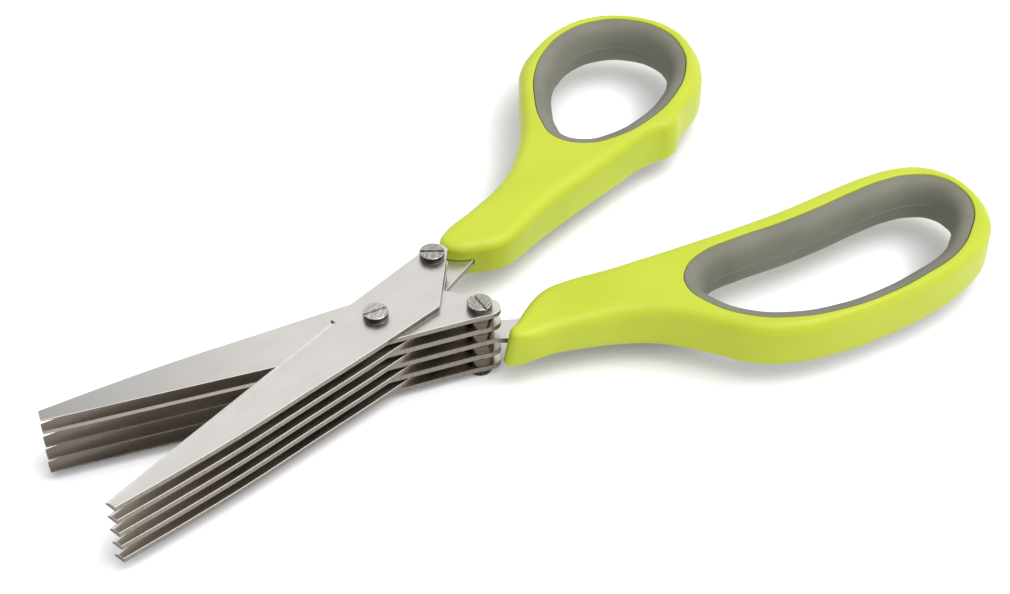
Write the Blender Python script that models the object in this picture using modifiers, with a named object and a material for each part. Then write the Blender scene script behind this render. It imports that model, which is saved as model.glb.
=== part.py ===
# Herb scissors: five pairs of blades stacked on one pivot, with two moulded ring handles.
#
# The scissors lie open, as when put down. +Z is up and the pivot's axis is the Z axis, with the
# origin in the middle of the foot of the pivot's lower head. The blades point to -X. The thumb
# half has its handle on +Y and the finger half has its handle on -Y. Each half is drawn closed,
# as if the blades lay along -X, and is then turned about the pivot by half of the opening.
# A side of +1 is the thumb half and a side of -1 is the finger half, which is the mirror image.

from math import cos, pi, radians, sin

import bmesh
import bpy
from mathutils import Vector

# Opening of the blades, and how many pairs there are
OPENING = radians(22.8)
BLADE_PAIRS = 5
TANG_PAIR = 3

# Blades
BLADE_REACH = 0.0651
BLADE_WIDTH = 0.0122
BLADE_THICKNESS = 0.00116
BLADE_RUN_GAP = 0.00004
PAIR_GAP = 0.00095
GRIND_WIDTH = 0.0013
EDGE_LAND = 0.0003
GRIND_END = 0.0045
GRIND_RUNOUT = 0.0008

# Screws, their sleeves and the spacers
HEAD_DIAMETER = 0.0049
HEAD_HEIGHT = 0.0014
HEAD_CHAMFER = 0.0002
SLOT_WIDTH = 0.0005
SLOT_DEPTH = 0.0005
SLEEVE_DIAMETER = 0.0036
SHANK_DIAMETER = 0.0025
ROUND_CLEARANCE = 0.00005
BORE_FLOOR = 0.0008
SCREW_END_GAP = 0.0004
PIVOT_SPACER_DIAMETER = 0.0066
TAIL_SPACER_DIAMETER = 0.0056

# Tails, where each half's blades are tied together
TAIL_SCREW_X = 0.0195
TAIL_SCREW_Y = 0.0044
TAIL_SIZE = 0.0040

# Tangs, and the pegs that hold the handles on them
TANG_REACH = 0.0525
TANG_WIDTH = 0.0060
TANG_MIDDLE_Y = 0.0065
TANG_ENTRY = 0.0045
TANG_END_CHAMFER = 0.0015
PEG_DIAMETER = 0.0026
PEG_SETBACKS = [0.0145, 0.0055]
TANG_CLEARANCE = 0.00015

# Handles
HANDLE_THICKNESS = 0.0108
HANDLE_ROUNDING = 0.0026
NECK_END_ROUNDING = 0.0012
NECK_END_THICKNESS = 0.0083
NECK_BLEND_START = 0.0280
NECK_BLEND_END = 0.0550
THUMB_NECK_START = 0.0265
THUMB_NECK_LENGTH = 0.0305
FINGER_NECK_START = 0.0228
FINGER_NECK_LENGTH = 0.0322
NECK_ROUNDING_START = 0.0230
NECK_ROUNDING_END = 0.0300
NECK_WIDTH = 0.0122
THUMB_RING_LENGTH = 0.0578
THUMB_RING_WIDTH = 0.0415
FINGER_RING_LENGTH = 0.0726
FINGER_RING_WIDTH = 0.0336

# Soft liners of the rings
LINER_DEPTH = 0.0039
LINER_TOP_DROP = 0.00025
LINER_FULLNESS = 0.8
LINER_CLEARANCE = 0.00015

# How far a cutter runs past what it cuts
OVERRUN = 0.001

# Points closer than this are one point, and a cut this near to a point goes through it
WELD_DISTANCE = 0.000002
SNAP_DISTANCE = 0.00003
SMOOTH_ANGLE = radians(40.0)

# How finely round shapes are divided
CIRCLE_STEPS = 24
OUTLINE_STEPS = 4
LINER_PROFILE_STEPS = 8
ROUNDING_STEPS = 4
NECK_BLEND_STEPS = 6

# Which way each screw's slot points, as a turn from +X
SLOT_TURNS = {"pivot": radians(20.0), "thumb_tail": radians(-46.0), "finger_tail": radians(-71.0)}

PLATE_LEVEL = BLADE_THICKNESS + BLADE_RUN_GAP
PAIR_PITCH = 2 * PLATE_LEVEL + PAIR_GAP
STACK_TOP = HEAD_HEIGHT + (BLADE_PAIRS - 1) * PAIR_PITCH + 2 * PLATE_LEVEL
STACK_MIDDLE = (HEAD_HEIGHT + STACK_TOP) / 2
SIDES = {"thumb": 1, "finger": -1}

# Blade outline, drawn for the thumb half: x in shares of the reach and y in shares of the width
TIP_SHARES = [(-1.0, 0.0295), (-0.9985, -0.1885)]
SPINE_SHARES = [(-0.79, -0.305), (-0.593, -0.392), (-0.335, -0.455), (-0.082, -0.518)]
HEEL_SHARE = (0.158, -0.553)
EDGE_ROOT_SHARE = (-0.025, 0.484)

# Tail outline round the tail screw, in shares of the tail size, from the end cut to the edge side
TAIL_SHARES = [(0.95, -0.13), (0.98, 0.25), (0.82, 0.56), (0.52, 0.68), (-0.375, 0.62)]
TANG_ROOT_SHARES = [(0.10, -0.86), (0.52, 0.68)]

# Neck outline: x in shares of the neck's length, y in shares of its width, inner side to outer side
THUMB_NECK_INNER_SHARES = [(1.0, 0.14), (0.80, 0.125), (0.62, 0.075), (0.42, 0.005), (0.27, 0.03)]
THUMB_NECK_END_SHARES = [(0.13, 0.23), (0.015, 0.48), (-0.01, 0.66), (0.02, 0.82), (0.11, 0.94)]
THUMB_NECK_OUTER_SHARES = [(0.36, 1.00), (0.60, 1.06), (0.80, 1.19), (1.0, 1.44)]
FINGER_NECK_INNER_SHARES = [(1.0, 0.12), (0.85, 0.12), (0.72, 0.09), (0.52, 0.03), (0.37, 0.07)]
FINGER_NECK_END_SHARES = [(0.23, 0.27), (0.085, 0.60), (0.004, 0.775), (0.009, 0.89), (0.07, 0.972)]
FINGER_NECK_OUTER_SHARES = [(0.30, 1.01), (0.50, 1.09), (0.70, 1.215), (0.87, 1.385), (1.0, 1.61)]

# Ring outlines: x in shares of the ring's length, y in shares of its width, outer side to inner side
THUMB_RING_SHARES = [(0.14, 0.565), (0.284, 0.76), (0.405, 0.91), (0.55, 0.98), (0.68, 1.0),
                     (0.82, 0.955), (0.92, 0.83), (0.985, 0.67), (0.995, 0.52), (0.955, 0.366),
                     (0.875, 0.215), (0.79, 0.127), (0.69, 0.080)]
THUMB_RING_INNER_SHARES = [(0.40, 0.042), (0.25, 0.042), (0.10, 0.044)]
FINGER_RING_SHARES = [(0.07, 0.72), (0.15, 0.88), (0.26, 0.975), (0.40, 1.0), (0.55, 0.975),
                      (0.70, 0.925), (0.835, 0.825), (0.93, 0.69), (0.980, 0.52), (0.989, 0.30),
                      (0.964, 0.09), (0.915, -0.025), (0.84, -0.085), (0.74, -0.093), (0.62, -0.064),
                      (0.455, -0.011), (0.29, 0.018), (0.13, 0.035)]

# Stop bump on the thumb ring's inner side, and the plain side behind it: x from the bump's middle
# and y from the middle line, both in shares of the bump's width. The bump's own place is a share of
# the ring's length.
BUMP_WIDTH = 0.0090
BUMP_PLACE_SHARE = 0.526
BUMP_SHARES = [(0.46, 0.165), (0.20, 0.015), (-0.08, 0.0), (-0.40, 0.125)]
BUMP_BASE_SHARES = [(0.46, 0.313), (0.20, 0.289), (-0.08, 0.262), (-0.40, 0.232)]
BUMP_FULLNESS = 0.5

# Edges of the ring holes in the same shares as the rings
THUMB_HOLE_SHARES = [(0.165, 0.355), (0.20, 0.50), (0.29, 0.665), (0.40, 0.805), (0.53, 0.90),
                     (0.67, 0.935), (0.80, 0.89), (0.90, 0.765), (0.943, 0.57), (0.90, 0.38),
                     (0.80, 0.24), (0.66, 0.147), (0.49, 0.106), (0.32, 0.133), (0.215, 0.21)]
FINGER_HOLE_SHARES = [(0.060, 0.40), (0.086, 0.585), (0.156, 0.76), (0.27, 0.885), (0.40, 0.935),
                      (0.54, 0.925), (0.67, 0.87), (0.80, 0.775), (0.89, 0.62), (0.945, 0.45),
                      (0.955, 0.29), (0.925, 0.13), (0.86, 0.045), (0.77, 0.020), (0.66, 0.045),
                      (0.54, 0.088), (0.41, 0.12), (0.27, 0.135), (0.16, 0.17), (0.09, 0.26)]


def clear_scene():
    for old in list(bpy.data.objects):
        bpy.data.objects.remove(old, do_unlink=True)


def new_collection(name):
    collection = bpy.data.collections.new(name)
    bpy.context.scene.collection.children.link(collection)
    return collection


def make_material(name, colour, roughness, metallic):
    material = bpy.data.materials.new(name)
    material.use_nodes = True
    shader = material.node_tree.nodes["Principled BSDF"]
    shader.inputs["Base Color"].default_value = (*colour, 1.0)
    shader.inputs["Roughness"].default_value = roughness
    shader.inputs["Metallic"].default_value = metallic
    return material


# The surfaces: colour, roughness and metallic value
SURFACES = {
    "blade_steel": ((0.62, 0.60, 0.57), 0.32, 1.0),
    "screw_steel": ((0.45, 0.44, 0.42), 0.30, 1.0),
    "spacer_steel": ((0.50, 0.48, 0.45), 0.30, 1.0),
    "handle_plastic": ((0.64, 0.81, 0.06), 0.38, 0.0),
    "liner_rubber": ((0.20, 0.20, 0.18), 0.60, 0.0),
}


def finish(piece, surface):
    """Give a piece its own material."""
    piece.data.materials.clear()
    piece.data.materials.append(make_material(piece.name, *SURFACES[surface]))


def shade(piece):
    piece.data.shade_smooth()
    piece.data.set_sharp_from_angle(angle=SMOOTH_ANGLE)


def scaled(shares, length, width, start=0.0):
    return [(start + x * length, y * width) for x, y in shares]


def circle_points(x, y, radius):
    return [(x + radius * cos(2 * pi * step / CIRCLE_STEPS), y + radius * sin(2 * pi * step / CIRCLE_STEPS))
            for step in range(CIRCLE_STEPS)]


def add_spline(curve, knots, side, round_knots=True):
    """Add a closed outline of (x, y) knots, or of (x, y, True) where the knot is a sharp corner."""
    if round_knots:
        spline = curve.splines.new("BEZIER")
        spline.bezier_points.add(len(knots) - 1)
        for point, knot in zip(spline.bezier_points, knots):
            point.co = (knot[0], side * knot[1], 0)
            handle = "VECTOR" if len(knot) > 2 else "AUTO"
            point.handle_left_type = handle
            point.handle_right_type = handle
    else:
        spline = curve.splines.new("POLY")
        spline.points.add(len(knots) - 1)
        for point, knot in zip(spline.points, knots):
            point.co = (knot[0], side * knot[1], 0, 1)
    spline.use_cyclic_u = True


def flat_curve(name, collection, thickness, grow=0):
    """A filled flat curve without its outlines yet, grown in its own plane by a clearance."""
    curve = bpy.data.curves.new(name, "CURVE")
    curve.dimensions = "2D"
    curve.fill_mode = "BOTH"
    curve.extrude = thickness / 2
    curve.offset = grow
    curve.resolution_u = OUTLINE_STEPS
    piece = bpy.data.objects.new(name, curve)
    collection.objects.link(piece)
    return piece


def to_mesh(piece):
    """Turn a curve, or a mesh with modifiers, into a plain closed mesh in the same place."""
    bpy.context.view_layer.update()
    mesh = bpy.data.meshes.new_from_object(piece.evaluated_get(bpy.context.evaluated_depsgraph_get()))
    shape = bmesh.new()
    shape.from_mesh(mesh)
    bmesh.ops.remove_doubles(shape, verts=shape.verts, dist=WELD_DISTANCE)
    bmesh.ops.recalc_face_normals(shape, faces=shape.faces)
    shape.to_mesh(mesh)
    shape.free()
    solid = bpy.data.objects.new(piece.name, mesh)
    solid.matrix_world = piece.matrix_world.copy()
    piece.users_collection[0].objects.link(solid)
    name = piece.name
    bpy.data.objects.remove(piece, do_unlink=True)
    solid.name = name
    return solid


def cut(piece, cutter):
    cutter.hide_render = True
    cutter.display_type = "WIRE"
    modifier = piece.modifiers.new("cut_" + cutter.name, "BOOLEAN")
    modifier.operation = "DIFFERENCE"
    modifier.solver = "EXACT"
    modifier.object = cutter


def turned(name, collection, profile, closed=False):
    """A piece turned about Z: the profile runs down its outer side as (radius, height) pairs."""
    edges = [(index, index + 1) for index in range(len(profile) - 1)]
    if closed:
        edges.append((len(profile) - 1, 0))
    mesh = bpy.data.meshes.new(name)
    mesh.from_pydata([(radius, 0, height) for radius, height in profile], edges, [])
    piece = bpy.data.objects.new(name, mesh)
    collection.objects.link(piece)
    screw = piece.modifiers.new("turn", "SCREW")
    screw.steps = CIRCLE_STEPS
    screw.render_steps = CIRCLE_STEPS
    screw.use_merge_vertices = True
    screw.merge_threshold = WELD_DISTANCE
    return to_mesh(piece)


def plate_top(pair, side):
    """Top of a blade's level in the stack. The thumb blade is the upper one of its pair."""
    lowered = 0 if side > 0 else PLATE_LEVEL
    return STACK_TOP - (pair - 1) * PAIR_PITCH - lowered


def blade_knots(side, with_tang):
    """The blade's outline from the tip along the spine, round the tail and back along the edge."""
    sharp = [(*point, True) for point in scaled(TIP_SHARES, BLADE_REACH, BLADE_WIDTH)]
    knots = sharp + scaled(SPINE_SHARES, BLADE_REACH, BLADE_WIDTH)
    knots.append((*scaled([HEEL_SHARE], BLADE_REACH, BLADE_WIDTH)[0], True))
    around_screw = [(TAIL_SCREW_X + x * TAIL_SIZE, TAIL_SCREW_Y + y * TAIL_SIZE) for x, y in TAIL_SHARES]
    if with_tang:
        lower_root, upper_root = [(TAIL_SCREW_X + x * TAIL_SIZE, TAIL_SCREW_Y + y * TAIL_SIZE)
                                  for x, y in TANG_ROOT_SHARES]
        neck_start = THUMB_NECK_START if side > 0 else FINGER_NECK_START
        entry = neck_start + TANG_ENTRY
        low = TANG_MIDDLE_Y - TANG_WIDTH / 2
        high = TANG_MIDDLE_Y + TANG_WIDTH / 2
        shoulder = TANG_REACH - TANG_END_CHAMFER
        knots += [(*lower_root, True), (entry, low, True), (shoulder, low, True),
                  (TANG_REACH, low + TANG_END_CHAMFER, True), (TANG_REACH, high - TANG_END_CHAMFER, True),
                  (shoulder, high, True), (entry, high, True), (*upper_root, True)]
        knots.append((*around_screw[-1], True))
    else:
        knots.append((*around_screw[0], True))
        knots += around_screw[1:-1]
        knots.append((*around_screw[-1], True))
    knots.append((*scaled([EDGE_ROOT_SHARE], BLADE_REACH, BLADE_WIDTH)[0], True))
    return knots


def blade_plate(name, collection, pair, side, thickness, grow=0):
    """A blade's flat plate with its holes, and its tang where the pair carries the handle."""
    with_tang = pair == TANG_PAIR
    plate = flat_curve(name, collection, thickness, grow)
    hole = SLEEVE_DIAMETER / 2 + ROUND_CLEARANCE
    add_spline(plate.data, blade_knots(side, with_tang), side)
    add_spline(plate.data, circle_points(0, 0, hole), side, round_knots=False)
    add_spline(plate.data, circle_points(TAIL_SCREW_X, TAIL_SCREW_Y, hole), side, round_knots=False)
    if with_tang:
        for setback in PEG_SETBACKS:
            peg = circle_points(TANG_REACH - setback, TANG_MIDDLE_Y, PEG_DIAMETER / 2)
            add_spline(plate.data, peg, side, round_knots=False)
    solid = to_mesh(plate)
    solid.location.z = plate_top(pair, side) - PLATE_LEVEL / 2
    return solid


def grind_cutter(side):
    """A wedge along the cutting edge that leaves the ground bevel on the blade's outer face."""
    tip = Vector(scaled(TIP_SHARES[:1], BLADE_REACH, BLADE_WIDTH)[0])
    root = Vector(scaled([EDGE_ROOT_SHARE], BLADE_REACH, BLADE_WIDTH)[0])
    along = (root - tip).normalized()
    across = Vector((-along.y, along.x))
    half = BLADE_THICKNESS / 2
    slope = (BLADE_THICKNESS - EDGE_LAND) / GRIND_WIDTH
    # Section of the wedge as (distance past the edge, height), on the outer face and past it
    low = EDGE_LAND - half - slope * OVERRUN
    section = [(-GRIND_WIDTH - OVERRUN / slope, half + OVERRUN), (OVERRUN, half + OVERRUN), (OVERRUN, low)]
    start = tip - along * OVERRUN
    end = root - along * GRIND_END
    shape = bmesh.new()
    rings = []
    for base, shift in ((start, 0), (end, GRIND_RUNOUT)):
        ring = []
        for past, height in section:
            lift = shift * (height + half) / BLADE_THICKNESS
            point = base + across * past + along * lift
            ring.append(shape.verts.new((point.x, side * point.y, side * height)))
        rings.append(ring)
    shape.faces.new(rings[0])
    shape.faces.new(reversed(rings[1]))
    for index in range(len(section)):
        following = (index + 1) % len(section)
        shape.faces.new((rings[0][index], rings[1][index], rings[1][following], rings[0][following]))
    bmesh.ops.recalc_face_normals(shape, faces=shape.faces)
    mesh = bpy.data.meshes.new("grind")
    shape.to_mesh(mesh)
    shape.free()
    return mesh


def add_blades(half, side, parts, cutters, empty):
    grind_mesh = grind_cutter(side)
    for pair in range(1, BLADE_PAIRS + 1):
        blade = blade_plate(f"{half}_blade_{pair}", parts, pair, side, BLADE_THICKNESS)
        grind = bpy.data.objects.new(f"{half}_grind_{pair}", grind_mesh)
        cutters.objects.link(grind)
        grind.location = blade.location
        for piece in (blade, grind):
            piece.parent = empty
        cut(blade, grind)
        shade(blade)
        finish(blade, "blade_steel")


def add_fastener(prefix, x, y, bottom, top, parts, cutters, empty):
    """A slotted screw from above in a headed sleeve nut from below, round a stack of plates."""
    head = HEAD_DIAMETER / 2
    sleeve = SLEEVE_DIAMETER / 2
    shank = SHANK_DIAMETER / 2
    bore = shank + ROUND_CLEARANCE
    foot = bottom - HEAD_HEIGHT
    bore_end = foot + BORE_FLOOR
    crown = top + HEAD_HEIGHT
    nut = turned(prefix + "_sleeve", parts, [
        (0, bore_end), (bore, bore_end), (bore, top - BLADE_RUN_GAP), (sleeve, top - BLADE_RUN_GAP),
        (sleeve, bottom), (head, bottom), (head, foot + HEAD_CHAMFER), (head - HEAD_CHAMFER, foot),
        (0, foot)])
    screw = turned(prefix + "_screw", parts, [
        (0, crown), (head - HEAD_CHAMFER, crown), (head, crown - HEAD_CHAMFER), (head, top),
        (shank, top), (shank, bore_end + SCREW_END_GAP), (0, bore_end + SCREW_END_GAP)])
    slot_mesh = bpy.data.meshes.new(prefix + "_slot")
    shape = bmesh.new()
    bmesh.ops.create_cube(shape, size=1)
    slot_size = (HEAD_DIAMETER + OVERRUN, SLOT_WIDTH, SLOT_DEPTH + OVERRUN)
    bmesh.ops.scale(shape, vec=slot_size, verts=shape.verts)
    shape.to_mesh(slot_mesh)
    shape.free()
    slot = bpy.data.objects.new(prefix + "_slot", slot_mesh)
    cutters.objects.link(slot)
    slot.location = (x, y, crown + (OVERRUN - SLOT_DEPTH) / 2)
    slot.rotation_euler.z = SLOT_TURNS[prefix]
    cut(screw, slot)
    for piece in (nut, screw):
        piece.location = (x, y, 0)
        shade(piece)
        finish(piece, "screw_steel")
    for piece in (nut, screw, slot):
        piece.parent = empty


def add_spacers(prefix, x, y, diameter, tops, height, parts, empty):
    """Sleeves between one plate and the next, each hanging from the level given for it."""
    outer = diameter / 2
    inner = SLEEVE_DIAMETER / 2 + ROUND_CLEARANCE
    for index, top in enumerate(tops):
        spacer = turned(f"{prefix}_spacer_{index + 1}", parts, [
            (inner, 0), (outer, 0), (outer, -height), (inner, -height)], closed=True)
        spacer.location = (x, y, top)
        spacer.parent = empty
        shade(spacer)
        finish(spacer, "spacer_steel")


def thumb_handle_knots(bump_shares):
    neck = (THUMB_NECK_INNER_SHARES + THUMB_NECK_END_SHARES + THUMB_NECK_OUTER_SHARES)
    ring_start = THUMB_NECK_START + THUMB_NECK_LENGTH
    bump_middle = ring_start + BUMP_PLACE_SHARE * THUMB_RING_LENGTH
    bump = scaled(bump_shares, BUMP_WIDTH, BUMP_WIDTH, bump_middle)
    return (scaled(neck, THUMB_NECK_LENGTH, NECK_WIDTH, THUMB_NECK_START)
            + scaled(THUMB_RING_SHARES, THUMB_RING_LENGTH, THUMB_RING_WIDTH, ring_start) + bump
            + scaled(THUMB_RING_INNER_SHARES, THUMB_RING_LENGTH, THUMB_RING_WIDTH, ring_start))


def finger_handle_knots():
    neck = (FINGER_NECK_INNER_SHARES + FINGER_NECK_END_SHARES + FINGER_NECK_OUTER_SHARES)
    ring_start = FINGER_NECK_START + FINGER_NECK_LENGTH
    return (scaled(neck, FINGER_NECK_LENGTH, NECK_WIDTH, FINGER_NECK_START)
            + scaled(FINGER_RING_SHARES, FINGER_RING_LENGTH, FINGER_RING_WIDTH, ring_start))


def hole_knots(side):
    if side > 0:
        return scaled(THUMB_HOLE_SHARES, THUMB_RING_LENGTH, THUMB_RING_WIDTH,
                      THUMB_NECK_START + THUMB_NECK_LENGTH)
    return scaled(FINGER_HOLE_SHARES, FINGER_RING_LENGTH, FINGER_RING_WIDTH,
                  FINGER_NECK_START + FINGER_NECK_LENGTH)


def eased(share):
    share = min(max(share, 0.0), 1.0)
    return share * share * (3 - 2 * share)


def outline_points(knots, side):
    """The points along a closed outline, as a curve draws it through its knots."""
    curve = bpy.data.curves.new("outline", "CURVE")
    curve.dimensions = "2D"
    curve.fill_mode = "NONE"
    curve.resolution_u = OUTLINE_STEPS
    add_spline(curve, knots, side)
    outline = bpy.data.objects.new("outline", curve)
    points = [vertex.co.xy for vertex in outline.to_mesh().vertices]
    bpy.data.objects.remove(outline, do_unlink=True)
    return points


def rounding_radius(point):
    """Radius of the handle's long edge at a point: smaller at the neck's end."""
    run = eased((point.x - NECK_ROUNDING_START) / (NECK_ROUNDING_END - NECK_ROUNDING_START))
    return NECK_END_ROUNDING + (HANDLE_ROUNDING - NECK_END_ROUNDING) * run


def rounded_slab(name, collection, base_knots, knots, side):
    """A slab of the handle's thickness with rounded long edges.

    The side wall follows the knots, and the rounding leads it back to the base knots, so that what
    stands out between the two fades into the top and the underside.
    """
    points = outline_points(base_knots, side)
    bulges = [full - base for full, base in zip(outline_points(knots, side), points)]
    count = len(points)
    rows = []
    for index, point in enumerate(points):
        before = (point - points[index - 1]).normalized()
        after = (points[(index + 1) % count] - point).normalized()
        along = (before + after).normalized()
        inward = Vector((along.y, -along.x)) * side
        radius = rounding_radius(point)
        row = []
        for step in range(-ROUNDING_STEPS, ROUNDING_STEPS + 1):
            angle = radians(90) * abs(step) / ROUNDING_STEPS
            place = point + bulges[index] * cos(angle) ** BUMP_FULLNESS + inward * radius * (1 - cos(angle))
            height = HANDLE_THICKNESS / 2 - radius * (1 - sin(angle))
            for sign in ((-1, 1) if step == 0 else (1 if step > 0 else -1,)):
                row.append((*place, sign * height))
        rows.append(row)
    shape = bmesh.new()
    rings = [[shape.verts.new(row[level]) for row in rows] for level in range(len(rows[0]))]
    for lower, upper in zip(rings, rings[1:]):
        for index in range(count):
            following = (index + 1) % count
            shape.faces.new((lower[index], lower[following], upper[following], upper[index]))
    for cap in (rings[0], rings[-1]):
        shape.faces.new(cap)
    shape.normal_update()
    bmesh.ops.recalc_face_normals(shape, faces=shape.faces)
    bmesh.ops.triangulate(shape, faces=shape.faces, ngon_method="EAR_CLIP")
    mesh = bpy.data.meshes.new(name)
    shape.to_mesh(mesh)
    shape.free()
    slab = bpy.data.objects.new(name, mesh)
    collection.objects.link(slab)
    return slab


def slim_neck(handle, tang_level):
    """Thin the neck towards its end and bring it level with the tang it holds."""
    shape = bmesh.new()
    shape.from_mesh(handle.data)
    for step in range(NECK_BLEND_STEPS + 1):
        place = NECK_BLEND_START + (NECK_BLEND_END - NECK_BLEND_START) * step / NECK_BLEND_STEPS
        everything = [*shape.verts, *shape.edges, *shape.faces]
        bmesh.ops.bisect_plane(shape, geom=everything, dist=SNAP_DISTANCE,
                               plane_co=(place, 0, 0), plane_no=(1, 0, 0))
    for vertex in shape.verts:
        ease = eased((vertex.co.x - NECK_BLEND_START) / (NECK_BLEND_END - NECK_BLEND_START))
        thickness = NECK_END_THICKNESS + (HANDLE_THICKNESS - NECK_END_THICKNESS) * ease
        middle = tang_level + (STACK_MIDDLE - tang_level) * ease
        vertex.co.z = middle + vertex.co.z * thickness / HANDLE_THICKNESS
    shape.to_mesh(handle.data)
    shape.free()


def add_handle(half, side, parts, cutters, empty):
    """The moulded handle: neck and ring in one, with its ring hole and the slot for the tang."""
    if side > 0:
        base_knots, knots = thumb_handle_knots(BUMP_BASE_SHARES), thumb_handle_knots(BUMP_SHARES)
    else:
        base_knots = knots = finger_handle_knots()
    handle = rounded_slab(half + "_handle", parts, base_knots, knots, side)
    slim_neck(handle, plate_top(TANG_PAIR, side) - PLATE_LEVEL / 2)
    hole = flat_curve(half + "_ring_hole", cutters, HANDLE_THICKNESS + 2 * OVERRUN)
    add_spline(hole.data, hole_knots(side), side)
    hole = to_mesh(hole)
    hole.location.z = STACK_MIDDLE
    slot = blade_plate(half + "_tang_slot", cutters, TANG_PAIR, side,
                       BLADE_THICKNESS + 2 * TANG_CLEARANCE, TANG_CLEARANCE)
    for piece in (handle, hole, slot):
        piece.parent = empty
    cut(handle, hole)
    cut(handle, slot)
    shade(handle)
    finish(handle, "handle_plastic")


def add_liner(half, side, parts, guides, empty):
    """The soft liner: a crowned band swept round the edge of the ring hole."""
    crown = HANDLE_THICKNESS / 2 - LINER_TOP_DROP
    profile = bpy.data.curves.new(half + "_liner_profile", "CURVE")
    profile.dimensions = "2D"
    spline = profile.splines.new("POLY")
    spline.points.add(LINER_PROFILE_STEPS)
    for index, point in enumerate(spline.points):
        angle = pi * (index / LINER_PROFILE_STEPS - 1 / 2)
        depth = LINER_CLEARANCE + (LINER_DEPTH - LINER_CLEARANCE) * cos(angle) ** LINER_FULLNESS
        point.co = (depth, crown * sin(angle), 0, 1)
    spline.use_cyclic_u = True
    guide = bpy.data.objects.new(half + "_liner_profile", profile)
    guide.hide_render = True
    guide.display_type = "WIRE"
    guides.objects.link(guide)
    curve = bpy.data.curves.new(half + "_grip_liner", "CURVE")
    curve.dimensions = "2D"
    curve.fill_mode = "NONE"
    curve.resolution_u = OUTLINE_STEPS
    curve.bevel_mode = "OBJECT"
    curve.bevel_object = guide
    add_spline(curve, hole_knots(side), side)
    liner = bpy.data.objects.new(half + "_grip_liner", curve)
    parts.objects.link(liner)
    liner = to_mesh(liner)
    liner.location.z = STACK_MIDDLE
    liner.parent = empty
    shade(liner)
    finish(liner, "liner_rubber")


def build():
    clear_scene()
    parts = new_collection("herb_scissors")
    cutters = new_collection("cutters")
    for half, side in SIDES.items():
        empty = bpy.data.objects.new(half + "_half", None)
        empty.rotation_euler.z = side * OPENING / 2
        parts.objects.link(empty)
        tops = [plate_top(pair, side) - PLATE_LEVEL for pair in range(1, BLADE_PAIRS)]
        add_blades(half, side, parts, cutters, empty)
        add_fastener(half + "_tail", TAIL_SCREW_X, side * TAIL_SCREW_Y,
                     plate_top(BLADE_PAIRS, side) - PLATE_LEVEL, plate_top(1, side), parts, cutters, empty)
        add_spacers(half + "_tail", TAIL_SCREW_X, side * TAIL_SCREW_Y, TAIL_SPACER_DIAMETER, tops,
                    PAIR_PITCH - PLATE_LEVEL, parts, empty)
        add_handle(half, side, parts, cutters, empty)
        add_liner(half, side, parts, cutters, empty)
        if half == "finger":
            add_fastener("pivot", 0, 0, HEAD_HEIGHT, STACK_TOP, parts, cutters, empty)
            add_spacers("pivot", 0, 0, PIVOT_SPACER_DIAMETER, tops, PAIR_GAP, parts, empty)
    bpy.context.view_layer.update()


build()
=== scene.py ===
from math import cos, pi, radians, sin

import bmesh
import bpy
from mathutils import Matrix, Vector


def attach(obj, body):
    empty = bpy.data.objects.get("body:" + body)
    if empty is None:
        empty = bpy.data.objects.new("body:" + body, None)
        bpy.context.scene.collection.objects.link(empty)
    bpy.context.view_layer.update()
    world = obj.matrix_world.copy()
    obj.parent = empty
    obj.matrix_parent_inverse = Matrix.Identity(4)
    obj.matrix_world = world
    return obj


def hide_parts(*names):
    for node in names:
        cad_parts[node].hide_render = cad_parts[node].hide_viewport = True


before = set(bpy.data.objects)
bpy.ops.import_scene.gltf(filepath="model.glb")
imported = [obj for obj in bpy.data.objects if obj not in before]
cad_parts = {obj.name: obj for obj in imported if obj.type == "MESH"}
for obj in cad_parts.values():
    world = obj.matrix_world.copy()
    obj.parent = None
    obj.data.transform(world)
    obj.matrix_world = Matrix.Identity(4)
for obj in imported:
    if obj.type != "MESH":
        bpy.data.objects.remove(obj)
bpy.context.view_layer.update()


# Blade plates
# Ten plates of 1.16 mm stainless sheet, stamped to shape and brushed where they show, with a narrow
# bevel ground on the outer face of each cutting edge. They are stacked in five pairs. The third
# plate of each half runs on as the tang that carries the handle.
mm = 0.001
opening = radians(22.8)
# The finger half's outlines are drawn mirrored
sides = {"thumb": 1, "finger": -1}
half_body = {"thumb": "thumb_half", "finger": "finger_half"}
pairs = 5
tang_pair = 3
sheet = 1.16 * mm
# A plate takes up a level of the stack, which is its sheet and a running gap
level = 1.20 * mm
pair_pitch = 3.35 * mm
head_height = 1.4 * mm
stack_top = head_height + (pairs - 1) * pair_pitch + 2 * level
tail = Vector((19.5 * mm, 4.4 * mm))
sleeve_hole = 1.85 * mm
plate_rim = 0.07 * mm
tang_middle = 6.5 * mm
peg_places = [38.0 * mm, 47.0 * mm]
peg_radius = 1.3 * mm
plate_curve_steps = 8
weld = 0.001 * mm

# The ground bevel stops short of the blade's root, where the stone lifts off within the runout
bevel_width = 1.3 * mm
bevel_land = 0.3 * mm
bevel_stop = 4.5 * mm
bevel_runout = 0.5 * mm
# The facet on one plate whose colour paints a highlight line
highlight_facet_width = 0.6 * mm
highlight_facet_depth = 0.42 * mm
grind_overrun = 1.0 * mm
stone_size = 4 * mm

# Outline points in millimetres, drawn closed along -X for the thumb half. "S" marks a sharp corner.
neck_start = {"thumb": 26.5, "finger": 22.8}
tang_sides = (3.5, 9.5)
tang_end = 52.5
tang_corner = 1.5
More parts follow.
